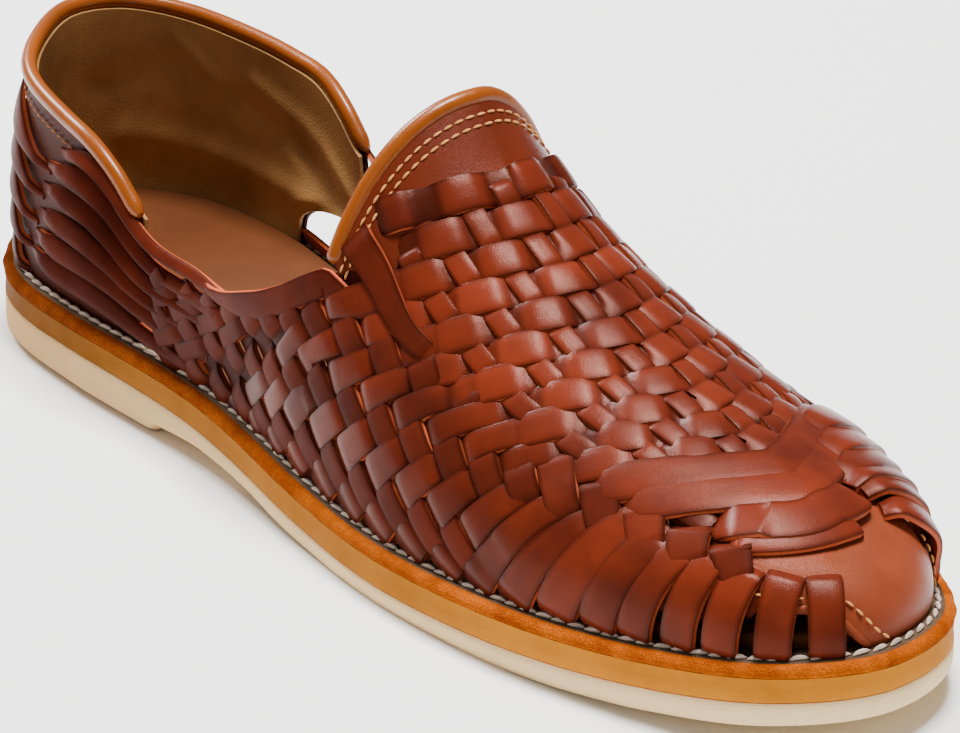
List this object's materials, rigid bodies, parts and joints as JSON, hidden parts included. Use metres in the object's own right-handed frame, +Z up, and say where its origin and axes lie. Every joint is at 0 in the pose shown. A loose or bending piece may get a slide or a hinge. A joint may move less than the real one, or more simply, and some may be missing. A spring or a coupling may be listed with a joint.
{
  "type": "huarache shoe",
  "caption": "Right woven leather slip-on huarache with tongue plate, strap shank, leather counter, toe cap and a low crepe sole.",
  "frame": {"origin": "on the floor, under the middle of the sole's outline box", "axes": "+X towards the toe, +Y towards the inner (big toe) side, +Z up"},
  "size_m": [0.292, 0.0949, 0.0935],
  "materials": {
    "crepe_rubber": "matt crepe",
    "midsole_leather": "waxed edge with a rough upper rim",
    "insole_leather": "dry vegetable-tanned",
    "upper_leather": "glazed red-brown",
    "cap_leather": "glazed red-brown",
    "binding_leather": "polished tan"
  },
  "bodies": {
    "root": {"outsole": "crepe_rubber", "midsole": "midsole_leather", "insole": "insole_leather", "upper": "upper_leather", "toe_cap": "cap_leather", "collar_binding": "binding_leather", "throat_binding": "binding_leather"}
  },
  "joints": []
}
